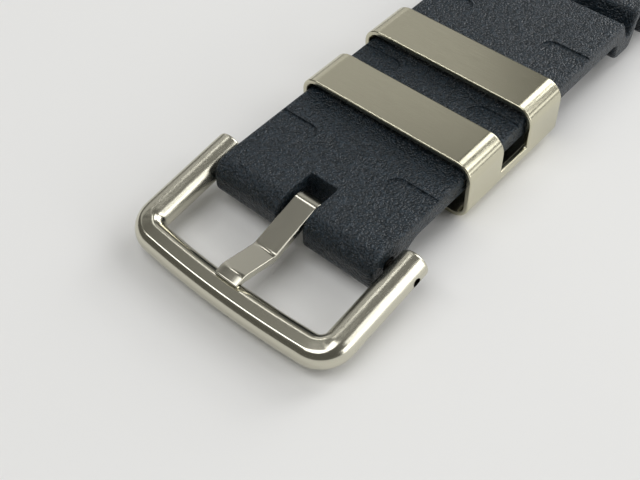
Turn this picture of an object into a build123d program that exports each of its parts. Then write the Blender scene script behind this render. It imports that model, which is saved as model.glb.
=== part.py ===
from build123d import *

import os
from math import atan2, cos, degrees, hypot, radians, sin, sqrt
from typing import NamedTuple

# Buckle half of a moulded rubber dive strap, lying top side up on a table, in millimetres.
# X runs across the strap, Y runs from the buckle to the watch end, and Z is up.
# The origin is on the table, under the middle of the whole piece.

# Rubber strap: the flat part, and the thick end that the buckle's bar goes through
strap_width = 22.0
strap_thickness = 2.5
strap_top = 6.6
nose_thickness = 4.7
nose_length = 4.1
nose_taper = 3.1
nose_top_radius = 2.0
nose_bottom_radius = 1.2
taper_radius = 2.5
edge_radius = 0.25
bar_setback = 2.65
bar_depth = 2.55

# Slot for the tongue, open at the strap's end
slot_width = 3.7
slot_depth = 5.45
slot_corner_radius = 0.25

# D-shaped recesses in pairs along the strap's edges
recess_rows = 3
recess_setback = 9.55
recess_pitch = 14.6
recess_width = 2.9
recess_reach = 5.9
recess_depth = 0.15

# Wave section: V grooves in the top, and wider notches between them in the underside
flat_length = 48.25
groove_count = 4
wave_pitch = 5.8
groove_width = 2.6
groove_depth = 3.1
groove_lean = 0.2
groove_radius = 0.3
lip_radius = 0.5
crest_rise = 0.3
crest_radius = 0.9
crest_skin = 1.3
notch_roof = 1.2
notch_mouth = 3.0
notch_radius = 0.5
trough_radius = 1.2
first_trough_lead = 2.6

# Watch end, and the slight curve that brings it down to the table
lug_thickness = 5.0
lug_run = 6.5
lug_round_share = 0.48
bend_start = 46.5
bend_radius = 232.0

# Buckle frame: round bar, ridged along the front
frame_bar_radius = 1.7
frame_side_gap = 0.25
frame_reach = 12.7
frame_arm_tail = 2.05
frame_corner_radius = 2.35
frame_bow_radius = 130.0
frame_tip_chamfer = 0.35
front_bar_height = 2.35
front_bar_radius = 1.72
ridge_height = 1.7
ridge_angle = 65.0
inner_edge_height = 1.66
inner_edge_angle = 103.5
top_hollow = 0.04

# Tongue: a ribbon rolled round the buckle's bar
tongue_width = 3.0
tongue_thickness = 0.85
tongue_fall_angle = 16.6
tongue_fall_end = 6.7
tongue_rise_angle = 12.6
tongue_rise = 3.85
tongue_tip = 1.2
tongue_valley_radius = 2.0
tongue_crown_radius = 1.2
eye_wrap = 285.0
eye_gap = 0.2

# Keeper: one folded sheet with two bands, joined along the foot
keeper_sheet = 0.7
keeper_side_gap = 0.2
keeper_height = 8.1
keeper_front = 15.3
keeper_band = 6.15
keeper_window = 5.1
keeper_foot = 2.95
keeper_corner_radius = 2.2
keeper_fold_radius = 1.25
keeper_notch_radius = 0.35

# Spring bar of the buckle
buckle_tube_radius = 0.75
buckle_tube_bore = 0.6
buckle_tip_travel = 1.6
buckle_flange_gap = 0.1
buckle_flange_width = 0.35
buckle_flange_radius = 0.68
buckle_pin_radius = 0.45
buckle_pin_length = 1.5
buckle_neck_radius = 0.38
buckle_plunger_length = 1.2
buckle_spring_wire = 0.2

# Spring bar of the watch end
lug_tube_radius = 1.25
lug_tube_bore = 1.0
lug_tip_travel = 1.4
lug_flange_proud = 0.05
lug_flange_width = 0.4
lug_flange_radius = 0.95
lug_pin_radius = 0.55
lug_pin_length = 1.25
lug_neck_radius = 0.8
lug_plunger_length = 1.4
lug_spring_wire = 0.2

# Sizes that both spring bars share
crimp_length = 0.35
crimp_round = 0.15
spring_preload_gap = 0.45
pin_chamfer = 0.12

# Clearances
running_gap = 0.05
coil_gap = 0.07
cut_overrun = 2.0

# Lengths worked out from the sizes above
half_width = strap_width / 2
arm_face = half_width + frame_side_gap
buckle_flange_face = arm_face - buckle_flange_gap
lug_flange_face = half_width + lug_flange_proud
tongue_fall = frame_reach - tongue_fall_end
trough_depth = lug_thickness
last_groove = flat_length + groove_width / 2 + (groove_count - 1) * wave_pitch
lug_bar_along = last_groove + lug_run
lug_end_along = lug_bar_along + lug_thickness / 2
lug_turn = (lug_bar_along - bend_start) / bend_radius
lug_bar_past_bend = (bend_radius - lug_thickness / 2) * sin(lug_turn)
strap_reach = bend_start + lug_bar_past_bend + lug_thickness / 2
bar_height = strap_top - bar_depth
frame_drop = bar_height - front_bar_height
frame_run = sqrt(frame_reach**2 - frame_drop**2)
strap_front = (frame_run + front_bar_radius - bar_setback - strap_reach) / 2
bar_y = strap_front + bar_setback


def bent(along, above):
    """Side-view point that lies so far along the strap and so far above its top face."""
    turn = max(along - bend_start, 0) / bend_radius
    straight = min(along, bend_start)
    y = strap_front + straight + (bend_radius + above) * sin(turn)
    z = strap_top + (bend_radius + above) * cos(turn) - bend_radius
    return y, z


def strap_outline():
    """Corners of the strap's side view and the radius of each, clockwise from the nose's top."""
    grooves = [flat_length + groove_width / 2 + row * wave_pitch for row in range(groove_count)]
    corners = [(0, 0, nose_top_radius)]
    for groove in grooves:
        first = groove == grooves[0]
        last = groove == grooves[-1]
        near_lip = (0, lip_radius) if first else (crest_rise, crest_radius)
        far_lip = (0, lip_radius) if last else (crest_rise, crest_radius)
        corners.append((groove - groove_width / 2, *near_lip))
        corners.append((groove + groove_lean, -groove_depth, groove_radius))
        corners.append((groove + groove_width / 2, *far_lip))
    lug_round = lug_round_share * lug_thickness
    corners.append((lug_end_along, 0, lug_round))
    corners.append((lug_end_along, -lug_thickness, lug_round))
    for groove in reversed(grooves[1:]):
        notch = groove - wave_pitch / 2
        corners.append((notch + notch_mouth / 2, -trough_depth, trough_radius))
        corners.append((notch + notch_roof / 2, crest_rise - crest_skin, notch_radius))
        corners.append((notch - notch_roof / 2, crest_rise - crest_skin, notch_radius))
        corners.append((notch - notch_mouth / 2, -trough_depth, trough_radius))
    trough_start = grooves[0] - first_trough_lead
    corners.append((trough_start, -trough_depth, trough_radius))
    corners.append((trough_start, -strap_thickness, lip_radius))
    corners.append((nose_length + nose_taper, -strap_thickness, taper_radius))
    corners.append((nose_length, -nose_thickness, taper_radius))
    corners.append((0, -nose_thickness, nose_bottom_radius))
    return corners


# Strap body: one moulding, drawn from the side and made as wide as the strap
lug_bar_y, lug_bar_z = bent(lug_bar_along, -lug_thickness / 2)
with BuildPart() as strap_body:
    with BuildSketch(Plane.YZ):
        with BuildLine():
            outline = strap_outline()
            places = [bent(along, above) for along, above, radius in outline]
            FilletPolyline(*places, radius=[corner[2] for corner in outline], close=True)
        make_face()
    extrude(amount=half_width, both=True)
    chamfer(strap_body.faces().filter_by(Axis.X).edges(), edge_radius)
    with BuildSketch(Plane.XY):
        with Locations((0, strap_front + slot_depth / 2 - cut_overrun / 2)):
            Rectangle(slot_width, slot_depth + cut_overrun)
    extrude(amount=strap_top + cut_overrun, mode=Mode.SUBTRACT)
    with BuildSketch(Plane.YZ):
        with Locations((bar_y, bar_height)):
            Circle(buckle_tube_radius + running_gap)
        with Locations((lug_bar_y, lug_bar_z)):
            Circle(lug_tube_radius + running_gap)
    extrude(amount=half_width + cut_overrun, both=True, mode=Mode.SUBTRACT)
    with BuildSketch(Plane.XY.offset(strap_top - recess_depth)):
        for row in range(recess_rows):
            recess_y = strap_front + recess_setback + row * recess_pitch
            slot_length = 2 * (recess_reach + cut_overrun)
            with Locations((half_width + cut_overrun, recess_y), (-half_width - cut_overrun, recess_y)):
                SlotOverall(slot_length, recess_width)
    extrude(amount=recess_depth + cut_overrun, mode=Mode.SUBTRACT)


# Buckle frame: round arms, corners that turn into the ridged front bar
frame_back = Vector(0, frame_run, frame_drop) / frame_reach
frame_up = Vector(0, -frame_drop, frame_run) / frame_reach
hinge_middle = Vector(0, bar_y, bar_height)
arm_x = arm_face + frame_bar_radius
corner_x = arm_x - frame_corner_radius
bow_centre = frame_bow_radius - frame_reach
corner_back = bow_centre - sqrt((frame_bow_radius - frame_corner_radius) ** 2 - corner_x**2)
corner_turn = atan2(bow_centre - corner_back, corner_x)


def on_frame(across, back):
    """Point in the frame's own plane, so far across and so far behind its hinge."""
    return hinge_middle + Vector(1, 0, 0) * across + frame_back * back


def around(centre_across, centre_back, radius, turn):
    """Point of an arc in the frame's plane, turned forward from the side."""
    return on_frame(centre_across + radius * cos(turn), centre_back - radius * sin(turn))


def bar_section(plane, radius, ridge, inner, hollow):
    """Section of the bar: round when ridge and inner are its radius, with outward along x."""
    low = radians(50)

    def rim(distance, angle):
        return distance * cos(angle), distance * sin(angle)

    ridge_turn = radians(ridge_angle)
    inner_turn = radians(inner_edge_angle)
    inner_middle = (inner_turn + radians(360) - (radians(180) - low)) / 2
    with BuildSketch(plane) as section:
        with BuildLine():
            ThreePointArc(
                rim(inner, inner_turn),
                rim((inner + ridge) / 2 - hollow, (inner_turn + ridge_turn) / 2),
                rim(ridge, ridge_turn),
            )
            ThreePointArc(
                rim(ridge, ridge_turn),
                rim(radius, (ridge_turn - low) / 2),
                rim(radius, -low),
            )
            ThreePointArc(
                rim(radius, -low),
                rim(radius, -radians(90)),
                rim(radius, low - radians(180)),
            )
            ThreePointArc(
                rim(radius, low - radians(180)),
                rim(radius, inner_middle),
                rim(inner, inner_turn),
            )
        make_face()
    return section.sketch


arm_start = Plane(origin=on_frame(arm_x, corner_back), x_dir=(1, 0, 0), z_dir=-frame_back)
bar_start_out = Vector(1, 0, 0) * cos(corner_turn) - frame_back * sin(corner_turn)
bar_start_along = -Vector(1, 0, 0) * sin(corner_turn) - frame_back * cos(corner_turn)
bar_start_point = around(corner_x, corner_back, frame_corner_radius, corner_turn)
bar_start = Plane(origin=bar_start_point, x_dir=bar_start_out, z_dir=bar_start_along)

with BuildPart() as buckle_frame:
    round_section = bar_section(arm_start, frame_bar_radius, frame_bar_radius, frame_bar_radius, 0)
    extrude(round_section, amount=-(frame_arm_tail - corner_back))
    chamfer(buckle_frame.faces().sort_by(Axis.Y)[-1].edges(), frame_tip_chamfer)
    with BuildLine() as corner_path:
        ThreePointArc(
            on_frame(arm_x, corner_back),
            around(corner_x, corner_back, frame_corner_radius, corner_turn / 2),
            bar_start_point,
        )
    ridged_section = bar_section(
        bar_start, front_bar_radius, ridge_height, inner_edge_height, top_hollow
    )
    sweep(sections=[round_section, ridged_section], path=corner_path.wire(), multisection=True)
    with BuildLine() as bow_path:
        ThreePointArc(
            bar_start_point,
            around(0, bow_centre, frame_bow_radius, (corner_turn + radians(90)) / 2),
            on_frame(0, -frame_reach),
        )
    sweep(sections=ridged_section, path=bow_path.wire())
    mirror(about=Plane.YZ)
    with BuildSketch(Plane.YZ):
        with Locations((bar_y, bar_height)):
            Circle(buckle_pin_radius + running_gap)
    extrude(amount=arm_x + frame_bar_radius + cut_overrun, both=True, mode=Mode.SUBTRACT)

# Tongue: the ribbon's middle line, from its rolled end round the bar to the tip
eye_radius = buckle_tube_radius + eye_gap + tongue_thickness / 2
with BuildPart() as buckle_tongue:
    with BuildLine(Plane.YZ) as ribbon:
        eye = CenterArc(
            (bar_y, bar_height), eye_radius, 90 + tongue_fall_angle - eye_wrap, eye_wrap
        )
        fall = PolarLine(eye @ 1, tongue_fall, direction=eye % 1)
        valley = JernArc(
            fall @ 1, fall % 1, tongue_valley_radius, -(tongue_fall_angle + tongue_rise_angle)
        )
        rise = PolarLine(valley @ 1, tongue_rise, direction=valley % 1)
        crown = JernArc(rise @ 1, rise % 1, tongue_crown_radius, tongue_rise_angle)
        tip = PolarLine(crown @ 1, tongue_tip, direction=crown % 1)
    with BuildSketch(Plane(origin=tip @ 1, x_dir=(1, 0, 0), z_dir=tip % 1)):
        Rectangle(tongue_width, tongue_thickness)
    sweep(path=ribbon.wire())

# Keeper: a tube of sheet with its top and sides cut away between the bands
keeper_length = 2 * keeper_band + keeper_window
keeper_y = strap_front + keeper_front
keeper_width = strap_width + 2 * (keeper_side_gap + keeper_sheet)
keeper_middle = keeper_height / 2
with BuildPart() as strap_keeper:
    with BuildSketch(Plane.XZ.offset(-keeper_y)):
        with Locations((0, keeper_middle)):
            RectangleRounded(keeper_width, keeper_height, keeper_corner_radius)
            RectangleRounded(
                keeper_width - 2 * keeper_sheet,
                keeper_height - 2 * keeper_sheet,
                keeper_fold_radius,
                mode=Mode.SUBTRACT,
            )
    extrude(amount=-keeper_length)
    with BuildSketch(Plane.YZ):
        with Locations((keeper_y + keeper_length / 2, keeper_foot + keeper_height / 2)):
            RectangleRounded(keeper_window, keeper_height, keeper_notch_radius)
    extrude(amount=keeper_width, both=True, mode=Mode.SUBTRACT)


class SpringBar(NamedTuple):
    """Sizes of one spring bar and where its middle is."""

    y: float
    z: float
    tube_radius: float
    tube_bore: float
    tip_travel: float
    flange_face: float
    flange_width: float
    flange_radius: float
    pin_radius: float
    pin_length: float
    neck_radius: float
    plunger_length: float
    wire: float

    def tube_half(self):
        return self.flange_face - self.flange_width - self.tip_travel

    def plunger_face(self):
        return self.tube_half() - crimp_length - spring_preload_gap

    def plunger_back(self):
        return self.plunger_face() - self.plunger_length


def bar_tube(bar):
    """Tube with its ends crimped in round the tips' necks."""
    crimp_bore = bar.neck_radius + running_gap
    tube_end = bar.tube_half()
    crimp_start = tube_end - crimp_length
    with BuildPart() as tube:
        with BuildSketch(Plane(origin=(0, bar.y, bar.z))):
            with BuildLine():
                Polyline(
                    (-crimp_start, bar.tube_bore),
                    (-crimp_start, crimp_bore),
                    (-tube_end, crimp_bore),
                    (-tube_end, bar.tube_radius - crimp_round),
                    (-tube_end + crimp_round, bar.tube_radius),
                    (tube_end - crimp_round, bar.tube_radius),
                    (tube_end, bar.tube_radius - crimp_round),
                    (tube_end, crimp_bore),
                    (crimp_start, crimp_bore),
                    (crimp_start, bar.tube_bore),
                    close=True,
                )
            make_face()
        revolve(axis=Axis((0, bar.y, bar.z), (1, 0, 0)))
    return tube.part


def bar_tip(bar, side):
    """Tip: plunger inside the tube, neck through the crimp, flange, and pin. side is 1 or -1."""
    plunger_radius = bar.tube_bore - running_gap
    flange_back = bar.flange_face - bar.flange_width
    pin_end = bar.flange_face + bar.pin_length
    with BuildPart() as tip:
        with BuildSketch(Plane(origin=(0, bar.y, bar.z))):
            with BuildLine():
                Polyline(
                    (side * bar.plunger_back(), 0),
                    (side * bar.plunger_back(), plunger_radius),
                    (side * bar.plunger_face(), plunger_radius),
                    (side * bar.plunger_face(), bar.neck_radius),
                    (side * flange_back, bar.neck_radius),
                    (side * flange_back, bar.flange_radius),
                    (side * bar.flange_face, bar.flange_radius),
                    (side * bar.flange_face, bar.pin_radius),
                    (side * (pin_end - pin_chamfer), bar.pin_radius),
                    (side * pin_end, bar.pin_radius - pin_chamfer),
                    (side * pin_end, 0),
                    close=True,
                )
            make_face()
        revolve(axis=Axis((0, bar.y, bar.z), (1, 0, 0)))
    return tip.part


def bar_spring(bar):
    """Spring sealed inside the tube between the two plungers, as the sleeve that its coils fill."""
    coil_outside = bar.tube_bore - coil_gap
    half_length = bar.plunger_back() - running_gap
    with BuildPart() as spring:
        with BuildSketch(Plane.YZ):
            with Locations((bar.y, bar.z)):
                Circle(coil_outside)
                Circle(coil_outside - bar.wire, mode=Mode.SUBTRACT)
        extrude(amount=half_length, both=True)
    return spring.part


buckle_bar = SpringBar(
    y=bar_y,
    z=bar_height,
    tube_radius=buckle_tube_radius,
    tube_bore=buckle_tube_bore,
    tip_travel=buckle_tip_travel,
    flange_face=buckle_flange_face,
    flange_width=buckle_flange_width,
    flange_radius=buckle_flange_radius,
    pin_radius=buckle_pin_radius,
    pin_length=buckle_pin_length,
    neck_radius=buckle_neck_radius,
    plunger_length=buckle_plunger_length,
    wire=buckle_spring_wire,
)
lug_bar = SpringBar(
    y=lug_bar_y,
    z=lug_bar_z,
    tube_radius=lug_tube_radius,
    tube_bore=lug_tube_bore,
    tip_travel=lug_tip_travel,
    flange_face=lug_flange_face,
    flange_width=lug_flange_width,
    flange_radius=lug_flange_radius,
    pin_radius=lug_pin_radius,
    pin_length=lug_pin_length,
    neck_radius=lug_neck_radius,
    plunger_length=lug_plunger_length,
    wire=lug_spring_wire,
)

pieces = {
    "strap_body": strap_body.part,
    "buckle_frame": buckle_frame.part,
    "buckle_tongue": buckle_tongue.part,
    "strap_keeper": strap_keeper.part,
}
for bar_name, bar in (("buckle_bar", buckle_bar), ("lug_bar", lug_bar)):
    pieces[bar_name + "_tube"] = bar_tube(bar)
    pieces[bar_name + "_tip_left"] = bar_tip(bar, -1)
    pieces[bar_name + "_tip_right"] = bar_tip(bar, 1)
    pieces[bar_name + "_spring"] = bar_spring(bar)

os.makedirs("parts", exist_ok=True)
for name, piece in pieces.items():
    piece.label = name
    export_step(piece, "parts/" + name + ".step")
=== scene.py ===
from math import atan2, ceil, cos, pi, radians, sin, sqrt, tan

import bpy
from mathutils import Matrix, Vector


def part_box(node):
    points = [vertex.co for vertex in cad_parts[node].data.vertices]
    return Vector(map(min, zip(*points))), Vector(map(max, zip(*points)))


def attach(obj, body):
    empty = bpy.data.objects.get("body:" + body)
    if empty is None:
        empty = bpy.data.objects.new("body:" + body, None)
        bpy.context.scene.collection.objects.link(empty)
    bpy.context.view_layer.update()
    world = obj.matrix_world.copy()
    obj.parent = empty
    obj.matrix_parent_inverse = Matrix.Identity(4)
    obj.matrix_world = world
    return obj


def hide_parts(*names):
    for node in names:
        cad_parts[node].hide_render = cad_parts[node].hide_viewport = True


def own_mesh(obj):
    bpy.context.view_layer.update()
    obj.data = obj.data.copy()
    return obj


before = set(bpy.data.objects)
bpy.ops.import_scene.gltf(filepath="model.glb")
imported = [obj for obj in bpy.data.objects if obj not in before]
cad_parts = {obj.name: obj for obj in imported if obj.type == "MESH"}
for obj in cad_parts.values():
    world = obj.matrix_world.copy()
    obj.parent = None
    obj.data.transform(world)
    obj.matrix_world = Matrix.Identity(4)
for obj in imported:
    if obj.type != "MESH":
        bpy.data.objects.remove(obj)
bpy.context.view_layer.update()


# Strap: one moulding of vulcanised rubber, pressed in a steel mould whose etched walls leave a
# fine leather grain. Its near end is thick for the buckle's bar, with a slot for the tongue, and
# its far end is waved, so that the strap stretches round a wetsuit. Sizes are in millimetres.
strap_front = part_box("strap_body")[0].y * 1000
strap_width = 22.0
strap_top = 6.6
strap_thickness = 2.5
nose = -0.3
nose_depth = 4.7
nose_end = 4.1
ramp_end = 7.2
bend_start = 46.5
bend_radius = 232.0

groove_pitch = 5.8
groove_middles = [49.55 + groove_pitch * row for row in range(4)]
groove_half_width = 1.3
groove_lean = 0.2
groove_depth = 3.1
level_lip = (0, 0.5)
raised_lip = (0.3, 0.9)

wave_start = groove_middles[0] - 2.6
wave_depth = 5.0
notch_mouth = 1.5
notch_roof = 0.6
rubber_over_notch = 1.0
lug_bar_along = groove_middles[-1] + 6.5
lug_end = lug_bar_along + 2.5


def rounded(corners, step=radians(6)):
    """Closed outline whose (u, v, radius) corners are each turned on an arc of that radius."""
    line = []
    for place, (u, v, radius) in enumerate(corners):
        corner = Vector((u, v))
        before = (Vector(corners[place - 1][:2]) - corner).normalized()
        after = (Vector(corners[(place + 1) % len(corners)][:2]) - corner).normalized()
        opening = before.angle(after)
        if radius == 0 or opening > radians(179):
            line.append(corner)
            continue
        middle = corner + (before + after).normalized() * radius / sin(opening / 2)
        first = corner + before * radius / tan(opening / 2) - middle
        last = corner + after * radius / tan(opening / 2) - middle
        swing = atan2(first.x * last.y - first.y * last.x, first.dot(last))
        pieces = max(2, ceil(abs(swing) / step))
        for share in range(pieces + 1):
            line.append(middle + Matrix.Rotation(swing * share / pieces, 2) @ first)
    return line


def piece_from(name, points, faces):
    """Object with this mesh, still in millimetres, and its faces turned to look outward."""
    mesh = bpy.data.meshes.new(name)
    mesh.from_pydata(points, [], faces)
    volume = 0.0
    for face in mesh.polygons:
        corners = [mesh.vertices[index].co for index in face.vertices]
        for k in range(1, len(corners) - 1):
            volume += corners[0].dot(corners[k].cross(corners[k + 1])) / 6
    if volume < 0:
        mesh.flip_normals()
    piece = bpy.data.objects.new(name, mesh)
    bpy.context.scene.collection.objects.link(piece)
    return piece


def prism(name, outline, low, high, place):
    """Solid with this outline from low to high, where place turns (u, v, w) into x, y, z."""
    count = len(outline)
    points = [place(u, v, low) for u, v in outline] + [place(u, v, high) for u, v in outline]
    sides = [(k, (k + 1) % count, (k + 1) % count + count, k + count) for k in range(count)]
    return piece_from(name, points, [*sides, range(count)[::-1], range(count, 2 * count)])


def seen_from_side(y, z, x):
    """Place of a point of a side view, so far across the strap."""
    return x, y, z


def seen_from_above(x, y, z):
    """Place of a point of a top view, so far above the table."""
    return x, y, z


def seen_from_front(x, z, y):
    """Place of a point of a front view, so far along the strap."""
    return x, y, z


def settle(piece):
    """Makes the shape that the modifiers give the piece's own mesh."""
    graph = bpy.context.evaluated_depsgraph_get()
    mesh = bpy.data.meshes.new_from_object(piece.evaluated_get(graph))
    piece.modifiers.clear()
    piece.data = mesh


def cut(piece, cutter):
    """Takes the cutter out of the piece and throws the cutter away."""
    carving = piece.modifiers.new("cut", "BOOLEAN")
    carving.object = cutter
    carving.operation = "DIFFERENCE"
    carving.solver = "EXACT"
    settle(piece)
    bpy.data.objects.remove(cutter)


# The cutters for holes and windows reach this far to each side, well past every piece.
cutter_reach = 20


def bore(piece, y, z, radius):
    """Drills a round hole right through the piece from side to side."""
    turns = [k * pi / 20 for k in range(40)]
    circle = [(y + radius * cos(turn), z + radius * sin(turn)) for turn in turns]
    cut(piece, prism("bore", circle, -cutter_reach, cutter_reach, seen_from_side))


def round_edges(piece, width, segments, sharper_than):
    """Rounds the edges that turn by more than so many degrees."""
    bevel = piece.modifiers.new("edge", "BEVEL")
    bevel.width = width
    bevel.segments = segments
    bevel.limit_method = "ANGLE"
    bevel.angle_limit = radians(sharper_than)
    bevel.use_clamp_overlap = False
    settle(piece)


def fit_to_body(piece, material, body, *nodes):
    """Turns a piece in millimetres into one in metres that stands for these nodes."""
    piece.data.transform(Matrix.Scale(0.001, 4))
    piece.data.shade_smooth()
    piece.modifiers.new("shading", "WEIGHTED_NORMAL").keep_sharp = True
    piece.data.materials.clear()
    piece.data.materials.append(material)
    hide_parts(*nodes)
    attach(piece, body)


def bent(along, above):
    """Side-view point so far along the strap and so far above its top face."""
    turn = max(along - bend_start, 0) / bend_radius
    y = strap_front + min(along, bend_start) + (bend_radius + above) * sin(turn)
    return y, strap_top + (bend_radius + above) * cos(turn) - bend_radius


# The corners of the side view run from the nose along the top to the watch end, and back along
# the underside. Each is how far along, how far above the top face, and the radius of its arc.
side_view = [(nose, 0, 2.2)]
for groove in groove_middles:
    side_view += [
        (groove - groove_half_width, *(level_lip if groove == groove_middles[0] else raised_lip)),
        (groove + groove_lean, -groove_depth, 0.3),
        (groove + groove_half_width, *(level_lip if groove == groove_middles[-1] else raised_lip)),
    ]
side_view += [(lug_end, 0, 2.4), (lug_end, -wave_depth, 2.4)]
for groove in reversed(groove_middles[1:]):
    notch = groove - groove_pitch / 2
    side_view += [
        (notch + notch_mouth, -wave_depth, 1.2),
        (notch + notch_roof, -rubber_over_notch, 0.5),
        (notch - notch_roof, -rubber_over_notch, 0.5),
        (notch - notch_mouth, -wave_depth, 1.2),
    ]
side_view += [
    (wave_start, -wave_depth, 1.2),
    (wave_start, -strap_thickness, 0.5),
    (ramp_end, -strap_thickness, 2.5),
    (nose_end, -nose_depth, 2.5),
    (nose, -nose_depth, 1.4),
]
strap_outline = rounded([(*bent(along, above), radius) for along, above, radius in side_view])
strap = prism("rubber_strap", strap_outline, -strap_width / 2, strap_width / 2, seen_from_side)
round_edges(strap, width=0.45, segments=4, sharper_than=40)

# The slot for the tongue's eye is open at the nose. Both ends are bored for a spring bar.
slot_edge = 1.85
slot_mouth = strap_front - 3.0
slot_back = strap_front + 5.45
slot_low, slot_high = -2, 12
slot_outline = rounded(
    [
        (-slot_edge, slot_mouth, 0),
        (slot_edge, slot_mouth, 0),
        (slot_edge, slot_back, 0.3),
        (-slot_edge, slot_back, 0.3),
    ]
)
cut(strap, prism("slot", slot_outline, slot_low, slot_high, seen_from_above))
bar_y = strap_front + 2.65
bar_height = 4.05
bore(strap, bar_y, bar_height, radius=0.8)
bore(strap, *bent(lug_bar_along, -wave_depth / 2), radius=1.3)
round_edges(strap, width=0.18, segments=3, sharper_than=40)

# The shallow recesses come in pairs, one from each edge of the top face.
recess_start = strap_front + 9.55
recess_pitch = 14.6
recess_half_width = 1.45
recess_end = strap_width / 2 - 5.9
recess_arc = 1.4
recess_floor = strap_top - 0.17
above_strap = strap_top + 3
beside_strap = strap_width / 2 + 3
for row in range(3):
    near = recess_start + recess_pitch * row - recess_half_width
    far = recess_start + recess_pitch * row + recess_half_width
    for side in (-1, 1):
        mouth = side * beside_strap
        end = side * recess_end
        inner = [(end, far, recess_arc), (end, near, recess_arc)]
        recess = rounded([(mouth, near, 0), (mouth, far, 0), *inner])
        cut(strap, prism("recess", recess, recess_floor, above_strap, seen_from_above))
round_edges(strap, width=0.02, segments=2, sharper_than=55)


def linear(code):
    """Linear colour of an sRGB hex code."""
    levels = [int(code[k : k + 2], 16) / 255 for k in (1, 3, 5)]
    return [v / 12.92 if v <= 0.04045 else ((v + 0.055) / 1.055) ** 2.4 for v in levels]


def node(material, kind, settings=None, links=None):
    """Adds a shader node. settings fill its fields and sockets, and links join its inputs."""
    made = material.node_tree.nodes.new("ShaderNode" + kind)
    for key, value in (settings or {}).items():
        if isinstance(key, str) and hasattr(made, key):
            setattr(made, key, value)
        else:
            made.inputs[key].default_value = value
    for key, source in (links or {}).items():
        material.node_tree.links.new(source, made.inputs[key])
    return made


def surface(name, **settings):
    """New material and its shader, with values that are the same all over it."""
    material = bpy.data.materials.new(name)
    material.use_nodes = True
    shader = material.node_tree.nodes["Principled BSDF"]
    for socket, value in settings.items():
        shader.inputs[socket.replace("_", " ")].default_value = value
    return material, shader


def vary(material, shader, **sources):
    """Joins what differs from place to place to the shader."""
    for socket, source in sources.items():
        material.node_tree.links.new(source, shader.inputs[socket.replace("_", " ")])


# Carbon black makes the rubber a dark blue slate with a dull sheen. The mould's grain of round
# cells breaks up the light, and its hollows are painted darker than the cell tops, as painted
# shade.
rubber, rubber_shader = surface("moulded_rubber", IOR=1.52, Specular_IOR_Level=0.35)
grain_size = 0.23
pore_size = 0.4
where = node(rubber, "TexCoord").outputs["Object"]
cells = node(rubber, "TexVoronoi", {"Scale": 1000 / grain_size}, {"Vector": where})
pores = node(
    rubber,
    "TexNoise",
    {"Scale": 1000 / pore_size, "Detail": 2.0, "Roughness": 0.6},
    {"Vector": where},
)
relief = node(
    rubber,
    "Math",
    {"operation": "MULTIPLY_ADD", 1: -0.6},
    {0: cells.outputs["Distance"], 2: pores.outputs["Fac"]},
).outputs["Value"]
bump = node(rubber, "Bump", {"Strength": 1.0, "Distance": 0.0002}, {"Height": relief})
painted_hollow_shade = node(rubber, "ValToRGB", None, {"Fac": relief})
painted_hollow_shade.color_ramp.elements[0].position = 0.1
painted_hollow_shade.color_ramp.elements[0].color = (*linear("#121b21"), 1)
painted_hollow_shade.color_ramp.elements[1].position = 0.5
painted_hollow_shade.color_ramp.elements[1].color = (*linear("#293640"), 1)
gloss = node(rubber, "MapRange", {"To Min": 0.2, "To Max": 0.38}, {"Value": pores.outputs["Fac"]})
vary(
    rubber,
    rubber_shader,
    Base_Color=painted_hollow_shade.outputs["Color"],
    Roughness=gloss.outputs["Result"],
    Normal=bump.outputs["Normal"],
)
fit_to_body(strap, rubber, "strap", "strap_body")


# Buckle frame: one length of 316L stainless bar, bent to a bow with two arms and forged along the
# front, so that the front bar has a hollow top between a ridge and an inner edge. The arms are
# brushed lengthwise and the front bar is polished.
frame_reach = 12.7
front_bar_height = 2.35
frame_drop = bar_height - front_bar_height
frame_run = sqrt(frame_reach**2 - frame_drop**2)
frame_back = Vector((0, frame_run, frame_drop)) / frame_reach
frame_up = Vector((0, -frame_drop, frame_run)) / frame_reach
hinge = Vector((0, bar_y, bar_height))
arm_x = 12.95
arm_tail = 2.05
tail_rounding = 0.4
bar_radius = 1.7
corner_radius = 2.35
bow_radius = 130.0

bow_centre = bow_radius - frame_reach
corner_x = arm_x - corner_radius
corner_back = bow_centre - sqrt((bow_radius - corner_radius) ** 2 - corner_x**2)
corner_turn = atan2(bow_centre - corner_back, corner_x)

# The ridged section has its ridge toward the front, its inner edge toward the hinge, and a round
# belly below them. No facet of its outline is longer than the facet length.
belly_radius = 1.72
ridge_turn = radians(65)
ridge = Vector((cos(ridge_turn), sin(ridge_turn))) * bar_radius
edge_turn = radians(103.5)
edge_radius = 1.66
inner_edge = Vector((cos(edge_turn), sin(edge_turn))) * edge_radius
facet_length = 0.12
ridged_outline = [(*ridge, 0.6), (*inner_edge, 0.15)]
for degree in range(111, 420, 6):
    belly = radians(degree)
    ridged_outline.append((belly_radius * cos(belly), belly_radius * sin(belly), 0))
ridged_outline = rounded(ridged_outline)
section = []
for first, last in zip(ridged_outline, ridged_outline[1:] + ridged_outline[:1]):
    pieces = ceil((last - first).length / facet_length)
    section += [first.lerp(last, share / pieces) for share in range(pieces)]

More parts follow.
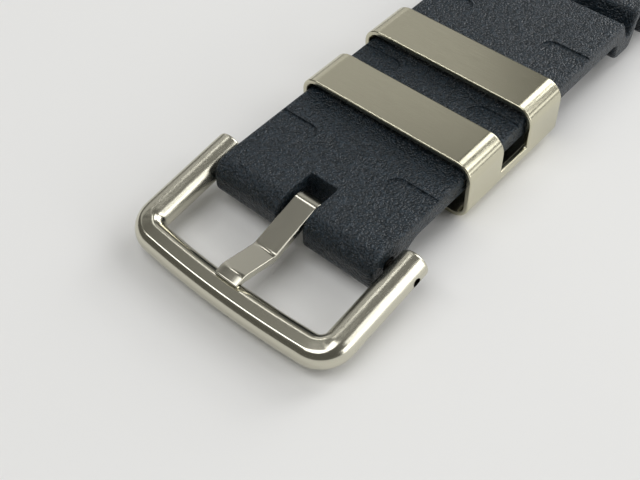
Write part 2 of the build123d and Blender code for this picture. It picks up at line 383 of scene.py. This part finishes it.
# Each station of the bar is how far across and back it is, its turn from the arm's line, how far
# its section has changed from round to ridged, and how much of its size is left. The ridge fades
# in as the bar goes round the corner.
stations = []
for degree in range(0, 91, 9):
    back = arm_tail - tail_rounding * (1 - cos(radians(degree)))
    size = 1 - tail_rounding * (1 - sin(radians(degree))) / bar_radius
    stations.append((arm_x, back, 0, 0, size))
parts = 24
fade_start = 4
fade_parts = 8
straight = corner_back - arm_tail + tail_rounding
for part in range(1, parts + 1):
    stations.append((arm_x, arm_tail - tail_rounding + straight * part / parts, 0.0, 0.0, 1.0))
for part in range(1, parts + 1):
    turn = corner_turn * part / parts
    blend = min(max(part - fade_start, 0) / fade_parts, 1)
    blend = blend * blend * (3 - 2 * blend)
    x, back = corner_x + corner_radius * cos(turn), corner_back - corner_radius * sin(turn)
    stations.append((x, back, turn, blend, 1.0))
for part in range(1, parts + 1):
    turn = corner_turn + (pi / 2 - corner_turn) * part / parts
    x, back = bow_radius * cos(turn), bow_centre - bow_radius * sin(turn)
    stations.append((x, back, turn, 1.0, 1.0))
stations += [(-x, back, pi - turn, blend, size) for x, back, turn, blend, size in stations[-2::-1]]


def swept(name, points, ring):
    """Solid through sections of so many points each, closed at both ends."""
    last = len(points) - ring
    faces = [range(ring), range(last, last + ring)[::-1]]
    for near in range(0, last, ring):
        far = near + ring
        for k in range(ring):
            beside = (k + 1) % ring
            faces.append((near + beside, near + k, far + k, far + beside))
    return piece_from(name, points, faces)


bow_points = []
for x, back, turn, blend, size in stations:
    outward = Vector((1, 0, 0)) * cos(turn) - frame_back * sin(turn)
    middle = hinge + Vector((1, 0, 0)) * x + frame_back * back
    for corner in section:
        ridged = corner / bar_radius
        across, above = corner.normalized().lerp(ridged, blend) * bar_radius * size
        bow_points.append(middle + outward * across + frame_up * above)
buckle = swept("buckle_bow", bow_points, len(section))
bore(buckle, bar_y, bar_height, radius=0.5)
round_edges(buckle, width=0.06, segments=2, sharper_than=50)

# Stainless steel has a warm grey tone, and brushing leaves fine lines along the arms. They are
# drawn 0.16 mm apart, a few times coarser than the real ones, and fade out at the corners.
steel, steel_shader = surface("brushed_bow_steel", Metallic=1.0)
line_spacing = 0.16
lines_end = (bar_y - 11.6) / 1000
lines_full = (bar_y - 9.6) / 1000
where = node(steel, "TexCoord").outputs["Object"]
stretch = node(steel, "Mapping", {"Scale": (1.0, 0.03, 1.0)}, {"Vector": where})
lines = node(
    steel,
    "TexNoise",
    {"Scale": 1000 / line_spacing, "Detail": 2.0},
    {"Vector": stretch.outputs["Vector"]},
)
split = node(steel, "SeparateXYZ", None, {"Vector": where})
brushed = node(
    steel,
    "MapRange",
    {"From Min": lines_end, "From Max": lines_full},
    {"Value": split.outputs["Y"]},
).outputs["Result"]
depth = node(
    steel,
    "Math",
    {"operation": "MULTIPLY"},
    {0: lines.outputs["Fac"], 1: brushed},
).outputs["Value"]
polish = node(steel, "MapRange", {"To Min": 0.16, "To Max": 0.21}, {"Value": brushed})
rough = node(
    steel,
    "Math",
    {"operation": "MULTIPLY_ADD", 1: 0.1},
    {0: depth, 2: polish.outputs["Result"]},
)
bump = node(steel, "Bump", {"Strength": 0.5, "Distance": 0.000014}, {"Height": depth})

# The wall of the holes for the spring bar is painted near black, as painted shade deep in the
# holes.
hole_shade_radius = 0.00054
hole_axis = (0, bar_y / 1000, bar_height / 1000)
flat_place = node(steel, "VectorMath", {"operation": "MULTIPLY", 1: (0, 1, 1)}, {0: where})
from_axis = node(
    steel,
    "VectorMath",
    {"operation": "DISTANCE", 1: hole_axis},
    {0: flat_place.outputs["Vector"]},
)
in_shaded_hole = node(
    steel,
    "Math",
    {"operation": "LESS_THAN", 1: hole_shade_radius},
    {0: from_axis.outputs["Value"]},
)
bow_tone = node(steel, "ValToRGB", None, {"Fac": in_shaded_hole.outputs["Value"]})
bow_tone.color_ramp.elements[0].color = (*linear("#cdcaba"), 1)
bow_tone.color_ramp.elements[1].color = (*linear("#1c1a17"), 1)
vary(
    steel,
    steel_shader,
    Base_Color=bow_tone.outputs["Color"],
    Roughness=rough.outputs["Value"],
    Normal=bump.outputs["Normal"],
)
fit_to_body(buckle, steel, "buckle", "buckle_frame")


# Tongue: a stainless ribbon, rolled round the spring bar, then bent down and up again so that its
# tip lies on the front bar. Its broad faces are satin and its bends and edges have worn bright.
tongue_width = 3.0
tongue_sheet = 0.85
buckle_bar_radius = 0.75
eye_clearance = 0.2
eye_radius = buckle_bar_radius + eye_clearance + tongue_sheet / 2
eye_roll = 285
dive = 16.6
falling_run = frame_reach - 6.7
low_bend = 29.2
low_bend_radius = 1.4
rising_run = 3.99
tip_bend = 12.6
tip_bend_radius = 1.3
tip_part = 0.17
tip_parts = 7
ground_angle = radians(15)
ribbon = []


def run_on(length, turn, parts):
    """Carries the ribbon's middle line on, straight or round a bend of so many radians."""
    (y, z), way = ribbon[-1]
    for _ in range(parts):
        middle = way + turn / parts / 2
        chord = length / parts * (sin(turn / parts / 2) / (turn / parts / 2) if turn else 1)
        y, z, way = y + chord * cos(middle), z + chord * sin(middle), way + turn / parts
        ribbon.append(((y, z), way))


# The ribbon goes round the eye, down toward the front, round the low bend, up, and level again.
eye_start = radians(90 + dive - eye_roll)
start = (bar_y + eye_radius * cos(eye_start), bar_height + eye_radius * sin(eye_start))
ribbon.append((start, eye_start + pi / 2))
run_on(eye_radius * radians(eye_roll), radians(eye_roll), 48)
run_on(falling_run, 0, 8)
run_on(0.16, 0, 1)
run_on(low_bend_radius * radians(low_bend), -radians(low_bend), 12)
run_on(rising_run, 0, 6)
run_on(tip_bend_radius * radians(tip_bend), radians(tip_bend), 6)
tip_start = len(ribbon) - 1
run_on(tip_parts * tip_part, 0, tip_parts)

tongue_points = []
for place, ((y, z), way) in enumerate(ribbon):
    # The tip is ground thinner from above.
    ground = tan(ground_angle) * max((place - tip_start) * tip_part - tip_part / 2, 0)
    under, over = -tongue_sheet / 2, tongue_sheet / 2 - ground
    for side, out in ((-1, under), (1, under), (1, over), (-1, over)):
        x = side * tongue_width / 2
        tongue_points.append((x, y + out * sin(way), z - out * cos(way)))
tongue = swept("rolled_tongue", tongue_points, 4)
round_edges(tongue, width=0.12, segments=3, sharper_than=40)

# Satin steel has faint lines along the ribbon, drawn coarser than they are so that they show.
satin, satin_shader = surface("satin_tongue_steel", Metallic=1.0)
satin_shader.inputs["Base Color"].default_value = (*linear("#c9c6b8"), 1)
line_spacing = 0.15
where = node(satin, "TexCoord").outputs["Object"]
stretch = node(satin, "Mapping", {"Scale": (1.0, 0.05, 0.05)}, {"Vector": where})
lines = node(
    satin,
    "TexNoise",
    {"Scale": 1000 / line_spacing, "Detail": 2.0},
    {"Vector": stretch.outputs["Vector"]},
).outputs["Fac"]
rough = node(satin, "MapRange", {"To Min": 0.14, "To Max": 0.2}, {"Value": lines})
bump = node(satin, "Bump", {"Strength": 0.1, "Distance": 0.000002}, {"Height": lines})
vary(satin, satin_shader, Roughness=rough.outputs["Result"], Normal=bump.outputs["Normal"])
fit_to_body(tongue, satin, "tongue", "buckle_tongue")


# Keeper: stainless sheet folded round the strap as two bands, joined along the foot. Its faces are
# brushed along the bands, and its folds and cut edges are polished.
keeper_low, keeper_high = (corner * 1000 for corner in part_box("strap_keeper"))
keeper_sheet = 0.7
outer_fold = 2.2
inner_fold = 1.25
window_front = keeper_low.y + 6.15
window_back = window_front + 5.1
window_foot = 2.95
window_top = 14
window_corner = 0.35


def keeper_ring(inset, radius):
    """Closed outline of the folded sheet, so far inside its outer face."""
    x = keeper_high.x - inset
    low, high = keeper_low.z + inset, keeper_high.z - inset
    return rounded([(-x, low, radius), (x, low, radius), (x, high, radius), (-x, high, radius)])


outer, inner = keeper_ring(0, outer_fold), keeper_ring(keeper_sheet, inner_fold)
keeper = prism("folded_keeper", outer, keeper_low.y, keeper_high.y, seen_from_front)
overrun = 5
inside = prism("inside", inner, keeper_low.y - overrun, keeper_high.y + overrun, seen_from_front)
cut(keeper, inside)
window = rounded(
    [
        (window_front, window_foot, window_corner),
        (window_back, window_foot, window_corner),
        (window_back, window_top, 0),
        (window_front, window_top, 0),
    ]
)
cut(keeper, prism("window", window, -cutter_reach, cutter_reach, seen_from_side))
round_edges(keeper, width=0.2, segments=4, sharper_than=50)

# The brushing's lines run across the strap, and are drawn coarser than they are to show.
keeper_steel, keeper_shader = surface("brushed_keeper_steel", Metallic=1.0)
keeper_shader.inputs["Base Color"].default_value = (*linear("#cdc9b3"), 1)
line_spacing = 0.15
where = node(keeper_steel, "TexCoord").outputs["Object"]
stretch = node(keeper_steel, "Mapping", {"Scale": (0.05, 1.0, 1.0)}, {"Vector": where})
lines = node(
    keeper_steel,
    "TexNoise",
    {"Scale": 1000 / line_spacing, "Detail": 0.0},
    {"Vector": stretch.outputs["Vector"]},
).outputs["Fac"]
rough = node(keeper_steel, "MapRange", {"To Min": 0.16, "To Max": 0.26}, {"Value": lines})
bump = node(keeper_steel, "Bump", {"Strength": 0.15, "Distance": 0.000004}, {"Height": lines})
vary(keeper_steel, keeper_shader, Roughness=rough.outputs["Result"], Normal=bump.outputs["Normal"])
fit_to_body(keeper, keeper_steel, "keeper", "strap_keeper")


# Spring bars: a crimped tube with a sprung tip at each end, turned from stainless wire. One holds
# the buckle, and the other goes between the watch's lugs.
turning_pitch = 0.1

# Turning leaves a dull grey steel with fine rings, drawn coarser than they are. The buckle's bar
# is painted darker than the other, as painted shade for the dark gap beside the buckle's arms.
for bar, code in (("buckle_bar", "#3d3b37"), ("lug_bar", "#8e8c88")):
    turned_steel, turned_shader = surface("turned_steel_of_" + bar, Metallic=1.0)
    turned_shader.inputs["Base Color"].default_value = (*linear(code), 1)
    where = node(turned_steel, "TexCoord").outputs["Object"]
    stretch = node(turned_steel, "Mapping", {"Scale": (1.0, 0.02, 0.02)}, {"Vector": where})
    rings = node(
        turned_steel,
        "TexNoise",
        {"Scale": 1000 / turning_pitch, "Detail": 2.0},
        {"Vector": stretch.outputs["Vector"]},
    ).outputs["Fac"]
    rough = node(turned_steel, "MapRange", {"To Min": 0.35, "To Max": 0.5}, {"Value": rings})
    vary(turned_steel, turned_shader, Roughness=rough.outputs["Result"])
    for name, cad_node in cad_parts.items():
        if name.startswith(bar):
            cad_node.data.materials.clear()
            cad_node.data.materials.append(turned_steel)

# Inside each tube is a coil of stainless spring wire. Its two halves are separate pieces, because
# each is pressed together by its own tip. Drawing leaves the wire grey with a soft shine, and its
# marks are coarser here than the real ones.
spring_wire, spring_shader = surface("drawn_spring_wire", Metallic=1.0)
spring_shader.inputs["Base Color"].default_value = (*linear("#b4b1a9"), 1)
mark_size = 0.1
where = node(spring_wire, "TexCoord").outputs["Object"]
marks = node(spring_wire, "TexNoise", {"Scale": 1000 / mark_size}, {"Vector": where}).outputs["Fac"]
rough = node(spring_wire, "MapRange", {"To Min": 0.25, "To Max": 0.4}, {"Value": marks})
vary(spring_wire, spring_shader, Roughness=rough.outputs["Result"])

wire = 0.2
wire_sides = 8
turn_parts = 24
for bar, turns, travel in (("buckle", 14, 1.5), ("lug", 12, 1.3)):
    spring_low, spring_high = (corner * 1000 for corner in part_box(bar + "_bar_spring"))
    middle = (spring_low + spring_high) / 2
    coil_radius = (spring_high.z - spring_low.z) / 2 - wire / 2
    reach = spring_high.x - wire / 2
    for side, hand in (("left", -1), ("right", 1)):
        coil_points = []
        for part in range(turns * turn_parts + 1):
            angle = hand * part * 2 * pi / turn_parts
            out = Vector((0, cos(angle), sin(angle)))
            x = hand * reach * part / (turns * turn_parts)
            centre = Vector((x, middle.y, middle.z)) + out * coil_radius
            for k in range(wire_sides):
                round_wire = k * 2 * pi / wire_sides
                rim = out * cos(round_wire) + Vector((1, 0, 0)) * sin(round_wire)
                coil_points.append(centre + rim * wire / 2)
        coil = swept(bar + "_coil_" + side, coil_points, wire_sides)
        fit_to_body(coil, spring_wire, "strap", bar + "_bar_spring")
        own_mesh(coil)


# Table: a plain pale card under the strap, in a dim room. Soft boxes light it from overhead, the
# right and the far side, faint ones on the left show in the flat steel, and two bright strips
# there light its ridge and bends. Sizes and places are in metres.
floor = piece_from("floor", [(-1, -1, 0), (1, -1, 0), (1, 1, 0), (-1, 1, 0)], [(0, 1, 2, 3)])
# The card is matt, so it takes the shadow and mirrors nothing.
card, card_shader = surface("matt_white_card", Roughness=0.9)
card_shader.inputs["Base Color"].default_value = (*linear("#ebebea"), 1)
floor.data.materials.append(card)


def soft_box(name, place, aim, size, brightness):
    """Flat lamp of this size and brightness that faces the aim."""
    lamp = bpy.data.lights.new(name, "AREA")
    lamp.shape = "RECTANGLE"
    lamp.size, lamp.size_y = size
    lamp.energy = brightness * pi * size[0] * size[1]
    holder = bpy.data.objects.new(name, lamp)
    holder.location = place
    holder.rotation_euler = (Vector(aim) - Vector(place)).to_track_quat("-Z", "Y").to_euler()
    bpy.context.scene.collection.objects.link(holder)


soft_box("overhead", (0.0, -0.27, 0.65), (0.0, -0.27, 0), (0.40, 0.50), 2.5)
soft_box("far_window", (0.16, 0.62, 0.40), (0, 0, 0), (0.30, 0.24), 5.0)
soft_box("right_window", (0.70, 0.14, 0.18), (0, 0, 0), (0.45, 0.34), 2.8)
soft_box("right_high", (0.48, 0.28, 0.45), (0, 0, 0), (0.36, 0.32), 2.6)
soft_box("far_right", (0.55, 0.48, 0.15), (0, 0, 0), (0.30, 0.12), 1.6)
soft_box("far_box", (0.01, 0.50, 0.54), (0, 0, 0), (0.26, 0.24), 2.7)
soft_box("far_wall", (0.10, 0.70, 0.22), (0, 0, 0), (0.50, 0.30), 3.2)
soft_box("far_left", (-0.44, 0.50, 0.50), (0, 0, 0), (0.30, 0.30), 0.4)
soft_box("left_low", (-0.54, 0.42, 0.22), (0, 0, 0), (0.34, 0.30), 0.5)
soft_box("left_wall", (-0.60, 0.15, 0.42), (0, 0, 0), (0.50, 0.40), 0.4)
soft_box("left_top", (-0.29, 0.03, 0.60), (-0.29, 0.03, 0), (0.24, 0.20), 0.11)
soft_box("ridge_strip", (-0.34, -0.26, 0.60), (-0.34, -0.26, 0), (0.34, 0.18), 3.6)
soft_box("bend_strip", (-0.33, 0.17, 0.60), (-0.33, 0.17, 0), (0.18, 0.07), 4.0)

room = bpy.data.worlds.new("room")
room.use_nodes = True
room_light = room.node_tree.nodes["Background"]
room_light.inputs["Color"].default_value = (*linear("#bdbbb4"), 1)
room_light.inputs["Strength"].default_value = 0.24
bpy.context.scene.world = room
bpy.context.scene.view_settings.view_transform = "Standard"


# Camera: where the photograph was taken from, over the buckle's right corner. Its place, aim and
# lens were fitted to the edges of the strap, the bands of the keeper and the buckle.
camera = bpy.data.cameras.new("camera")
camera.lens = 57.9
camera.clip_start = 0.005
camera_place = (0.04955, strap_front / 1000 - 0.04979, 0.0859)
right = Vector((0.753, 0.658, -0.018)).normalized()
ahead = Vector((-0.431, 0.473, -0.768))
ahead = (ahead - right * ahead.dot(right)).normalized()
turned = Matrix((right, right.cross(ahead), -ahead)).transposed()
tripod = bpy.data.objects.new("camera", camera)
tripod.matrix_world = Matrix.Translation(camera_place) @ turned.to_4x4()
bpy.context.scene.collection.objects.link(tripod)
bpy.context.scene.camera = tripod
